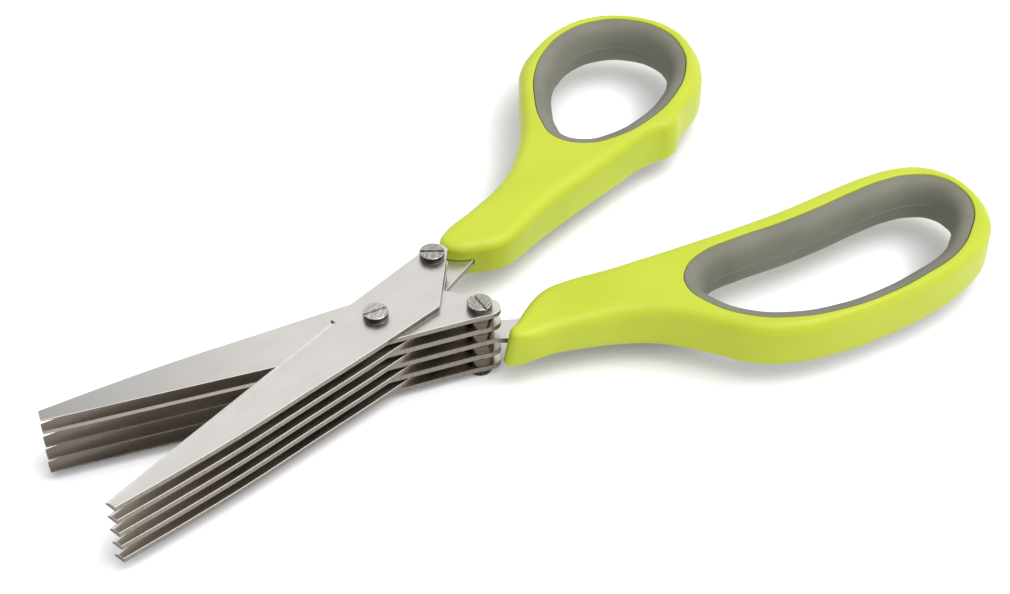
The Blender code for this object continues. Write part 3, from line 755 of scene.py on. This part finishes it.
def rounded_levels(points, inwards, bulges, widths, depths, half_height):
    """Rings up a wall from the lower face to the upper one. At each point its long edges are rounded
    over a depth and over a width, which is less where the wall is thin."""
    levels = []
    for step in range(-rounding_steps, rounding_steps + 1):
        angle = radians(90) * abs(step) / rounding_steps
        signs = (-1, 1) if step == 0 else (-1,) if step < 0 else (1,)
        for sign in signs:
            ring = []
            for point, inward, bulge, width, depth in zip(points, inwards, bulges, widths, depths):
                place = point + bulge * cos(angle) ** bump_fullness + inward * width * (1 - cos(angle))
                ring.append((*place, sign * (half_height - depth * (1 - sin(angle)))))
            levels.append(ring)
    lowest, highest = [
        [(*(Vector(place[:2]) + inward * flat_rim), place[2]) for place, inward in zip(level, inwards)]
        for level in (levels[0], levels[-1])]
    return [lowest, *levels, highest]


def moulded_plastic(name):
    """Green ABS from a fine-textured mould: satin, even in colour, with a shallow orange-peel skin."""
    material, tree, shader = new_material(
        name, IOR=1.52, Specular_IOR_Level=0.38, Subsurface_Weight=0.12, Subsurface_Scale=0.6 * mm)
    # The spark-eroded skin is about 0.05 mm fine. It is drawn at 0.35 mm, or it would not show.
    skin = pattern(tree, (0.35 * mm, 0.35 * mm, 0.35 * mm))
    flow = pattern(tree, (22 * mm, 9 * mm, 9 * mm), detail=1.0)
    patterned_finish(tree, shader, flow, "#D6E33F", "#CFDE3A", skin,
                     smooth=0.38, rough=0.48, depth=0.012 * mm)
    return material


green_plastic = moulded_plastic("abs_plastic_moulded_green")
for half, side in sides.items():
    if half == "thumb":
        base, inwards = traced_points(thumb_outline(bump_base_shares), side)
        full = traced_points(thumb_outline(bump_shares), side)[0]
    else:
        base, inwards = traced_points(finger_outline(), side)
        full = base
    bulges = [outer - inner for outer, inner in zip(full, base)]
    rim, rim_inwards = traced_points(hole_outline(half), side)
    widths, depths = [], []
    for point in base:
        run = eased((point.x - neck_rounding_run[0]) / (neck_rounding_run[1] - neck_rounding_run[0]))
        rounding = neck_end_rounding + (handle_rounding - neck_end_rounding) * run
        # Where the wall is thin, the rounding keeps clear of the hole's rim
        room = wall_width(point, rim) - hole_rim_rounding - 2 * flat_rim - least_flat
        widths.append(min(rounding, room))
        depths.append(rounding)
    handle = stacked_rings(half + "_ring_handle", rounded_levels(
        base, inwards, bulges, widths, depths, handle_thickness / 2))
    no_bulges = [Vector((0, 0))] * len(rim)
    rim_roundings = [hole_rim_rounding] * len(rim)
    hole = stacked_rings(half + "_hole_wall", rounded_levels(
        rim, [-way for way in rim_inwards], no_bulges, rim_roundings, rim_roundings,
        handle_thickness / 2))
    deselect()
    hole.select_set(True)
    handle.select_set(True)
    bpy.context.view_layer.objects.active = handle
    bpy.ops.object.join()
    bpy.ops.object.mode_set(mode="EDIT")
    for sign in (-1, 1):
        select_edges(lambda edge: edge.is_boundary and all(sign * end.co.z > 0 for end in edge.verts))
        bpy.ops.mesh.fill(use_beauty=True)
    # The flat faces are cut across, so that they can follow the neck as it thins
    for step in range(neck_cuts):
        bpy.ops.mesh.select_all(action="SELECT")
        bpy.ops.mesh.bisect(plane_co=(neck_blend[0] + step * neck_cut_pitch, 0, 0), plane_no=(1, 0, 0),
                            threshold=neck_cut_snap)
    bpy.ops.mesh.select_all(action="SELECT")
    bpy.ops.mesh.normals_make_consistent(inside=False)
    bpy.ops.object.mode_set(mode="OBJECT")
    tang_height = plate_top(half, tang_pair) - level / 2
    for vertex in handle.data.vertices:
        ease = eased((vertex.co.x - neck_blend[0]) / (neck_blend[1] - neck_blend[0]))
        thickness = neck_end_thickness + (handle_thickness - neck_end_thickness) * ease
        middle = tang_height + (stack_middle - tang_height) * ease
        if half == "finger":
            # The toe of this handle leans back, so its foot starts nearer to the blades than its top
            share = 1 - eased((vertex.co.x - toe_run[0]) / (toe_run[1] - toe_run[0]))
            vertex.co.x += share * (toe_lean * (0.5 + vertex.co.z / handle_thickness) - toe_reach)
        vertex.co.z = middle + vertex.co.z * thickness / handle_thickness
    pocket = blade_blank(half, half + "_tang_pocket", True, sheet + 2 * tang_clearance,
                         grow=tang_clearance)
    settle(pocket, 0, tang_height)
    cut_away(handle, pocket)
    handle.data.materials.clear()
    handle.data.materials.append(green_plastic)
    settle(handle, side * opening / 2)
    bpy.ops.object.shade_smooth_by_angle(angle=handle_smoothing)
    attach(handle, half_body[half])
    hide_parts(half + "_handle")


# Grip liners
# A band of soft grey rubber moulded into each ring, crowned towards the fingers. A thin line where
# the two halves of its mould met runs round the middle of it.
liner_depth = 3.9 * mm
liner_clearance = 0.15 * mm
liner_drop = 0.25 * mm
liner_fullness = 0.8
liner_steps = 28
seam_half_width = 0.16 * mm
seam_height = 0.10 * mm
liner_smoothing = radians(60)


def soft_rubber(name):
    """Grey thermoplastic rubber: matt and slightly chalky, with a fine grain."""
    material, tree, shader = new_material(name, IOR=1.5, Specular_IOR_Level=0.35)
    # The grain is about 0.1 mm fine. It is drawn at 0.3 mm, or it would not show.
    grain = pattern(tree, (0.3 * mm, 0.3 * mm, 0.3 * mm), detail=3.0, roughness=0.6)
    bloom = pattern(tree, (12 * mm, 12 * mm, 6 * mm), detail=1.0)
    patterned_finish(tree, shader, bloom, "#848377", "#8D8C7F", grain,
                     smooth=0.55, rough=0.72, depth=0.015 * mm)
    return material


grey_rubber = soft_rubber("thermoplastic_rubber_grey")
for half, side in sides.items():
    points, inwards = traced_points(hole_outline(half), side)
    crown = handle_thickness / 2 - liner_drop
    profile = []
    for step in range(liner_steps + 1):
        angle = pi * (step / liner_steps - 0.5)
        profile.append((liner_clearance + (liner_depth - liner_clearance) * cos(angle) ** liner_fullness,
                        crown * sin(angle)))
    middle = liner_steps // 2
    profile[middle:middle + 1] = [(liner_depth, -seam_half_width), (liner_depth + seam_height, 0),
                                  (liner_depth, seam_half_width)]
    profile.append(profile[0])
    levels = [[(*(point + inward * depth), height) for point, inward in zip(points, inwards)]
              for depth, height in profile]
    liner = stacked_rings(half + "_soft_liner", levels)
    pick(liner)
    bpy.ops.object.mode_set(mode="EDIT")
    bpy.ops.mesh.select_all(action="SELECT")
    bpy.ops.mesh.remove_doubles(threshold=weld)
    bpy.ops.mesh.normals_make_consistent(inside=False)
    bpy.ops.object.mode_set(mode="OBJECT")
    liner.data.materials.append(grey_rubber)
    settle(liner, side * opening / 2, stack_middle)
    bpy.ops.object.shade_smooth_by_angle(angle=liner_smoothing)
    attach(liner, half_body[half])
    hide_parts(half + "_grip_liner")


# Table, light and camera
# A plain white table under one soft lamp in a white room. The lamp hangs above, to the right of the
# camera, which looks down at 42 degrees. Low down the room is dim, as a studio is.
table_side = 4.0

# Ways along the table: to the camera's right, and away from the camera
to_right = Vector((0.818, -0.575, 0))
to_back = Vector((0.575, 0.818, 0))
lamp_direction = (Vector((0, 0, 1)) + 0.4 * to_right - 0.1 * to_back).normalized()
# The shadow is deepened where the part covers the paper on this side
covered_side = (Vector((0, 0, 1)) + 0.7 * to_right - 0.5 * to_back).normalized()
bright_side = (Vector((0, 0, 1)) + 0.3 * to_right + 0.6 * to_back).normalized()
shadow_reach = 12 * mm
shaded_paper = (0.42, 0.415, 0.42, 1)
open_paper = (1.95, 1.93, 1.96, 1)
deepest_shadow = 0.36
dim_room = 0.12
glowing_share = 0.65
paper_glow = 0.56
lamp_distance = 2.5
lamp_diameter = 1.75
lamp_watts = 30.5
camera_place = (-0.15617, -0.26449, 0.29973)
camera_elevation = radians(42.2)
camera_turn = radians(-35.13)
# The focal length and the width of the photograph, both in its pixels
focal_pixels = 2200
picture_pixels = 1010
film_width = 36

deselect()
bpy.ops.mesh.primitive_plane_add(size=table_side, location=(0, 0, 0))
table = bpy.context.object
table.name = "table"
paper, tree, shader = new_material(
    "white_paper_table", Roughness=0.9, Base_Color=srgb("#EDEDED"), Specular_IOR_Level=0.0)
# The camera sees the paper as white as an overexposed sheet. Only the shadow close in stays, and it
# is deepened where the part covers the paper within the shadow's reach. Most of what the camera sees
# is plain white or grey, so that the green plastic doesn't colour the paper beside it.
leaning = add_node(tree, "ShaderNodeCombineXYZ", dict(zip("XYZ", covered_side)))
covered = add_node(tree, "ShaderNodeAmbientOcclusion", {
    "Distance": shadow_reach, "Normal": leaning.outputs[0]}, samples=16)
openness = add_node(tree, "ShaderNodeMapRange", {
    "Value": covered.outputs["AO"], "From Min": deepest_shadow, "From Max": 1.0})
white = add_node(tree, "ShaderNodeMix", {
    "Factor": openness.outputs["Result"], "A": shaded_paper, "B": open_paper}, data_type="RGBA")
lit_paper = add_node(tree, "ShaderNodeBsdfDiffuse", {"Color": white.outputs["Result"]})
plain_paper = add_node(tree, "ShaderNodeEmission", {
    "Color": white.outputs["Result"], "Strength": paper_glow})
bright_paper = add_node(tree, "ShaderNodeMixShader", {
    0: glowing_share, 1: lit_paper.outputs[0], 2: plain_paper.outputs[0]})
rays = add_node(tree, "ShaderNodeLightPath")
mirrored = add_node(tree, "ShaderNodeMath", {
    0: rays.outputs["Is Glossy Ray"], 1: rays.outputs["Is Transmission Ray"]}, operation="MAXIMUM")
looked_at = add_node(tree, "ShaderNodeMath", {
    0: rays.outputs["Is Camera Ray"], 1: mirrored.outputs[0]}, operation="MAXIMUM")
both_papers = add_node(tree, "ShaderNodeMixShader", {
    0: looked_at.outputs[0], 1: shader.outputs[0], 2: bright_paper.outputs[0]})
tree.links.new(both_papers.outputs[0], tree.nodes["Material Output"].inputs["Surface"])
table.data.materials.append(paper)

lamp = bpy.data.lights.new("softbox", "AREA")
lamp.shape = "DISK"
lamp.size = lamp_diameter
lamp.energy = lamp_watts
softbox = bpy.data.objects.new("softbox", lamp)
softbox.location = lamp_distance * lamp_direction
softbox.rotation_euler = lamp_direction.to_track_quat("Z", "Y").to_euler()
bpy.context.scene.collection.objects.link(softbox)

world = bpy.data.worlds.new("studio")
bpy.context.scene.world = world
world.use_nodes = True
tree = world.node_tree
rays = add_node(tree, "ShaderNodeLightPath")


def room_brightness(side, dim_until, bright_from, brightest):
    """How bright the room is in each direction: dim away from one side and brightest towards it."""
    direction = add_node(tree, "ShaderNodeTexCoord")
    turned = add_node(tree, "ShaderNodeVectorMath", {
        0: direction.outputs["Generated"], 1: side}, operation="DOT_PRODUCT")
    return add_node(tree, "ShaderNodeMapRange", {
        "Value": turned.outputs["Value"], "From Min": dim_until, "From Max": bright_from,
        "To Min": dim_room, "To Max": brightest}).outputs["Result"]


# Steel mirrors a room that is bright above and behind the object. The light that the room casts on it
# comes more from the lamp's side.
mirrored_room = room_brightness(bright_side, dim_until=-0.15, bright_from=0.6, brightest=1.0)
lighting_room = room_brightness(lamp_direction, dim_until=-0.3, bright_from=0.9, brightest=0.75)
lit = add_node(tree, "ShaderNodeMix", {
    "Factor": rays.outputs["Is Glossy Ray"], "A": lighting_room, "B": mirrored_room}, data_type="FLOAT")
seen = add_node(tree, "ShaderNodeMath", {
    0: rays.outputs["Is Camera Ray"], 1: rays.outputs["Is Transmission Ray"]}, operation="MAXIMUM")
power = add_node(tree, "ShaderNodeMath", {
    0: seen.outputs[0], 1: lit.outputs["Result"]}, operation="MAXIMUM")
tree.links.new(power.outputs[0], tree.nodes["Background"].inputs["Strength"])
tree.nodes["Background"].inputs["Color"].default_value = (1, 1, 1, 1)

camera = bpy.data.cameras.new("camera")
camera.sensor_width = film_width
camera.lens = film_width * focal_pixels / picture_pixels
camera.clip_start = 0.01
viewpoint = bpy.data.objects.new("camera", camera)
viewpoint.location = camera_place
viewpoint.rotation_euler = (radians(90) - camera_elevation, 0, camera_turn)
bpy.context.scene.collection.objects.link(viewpoint)
bpy.context.scene.camera = viewpoint
bpy.context.scene.view_settings.view_transform = "Standard"
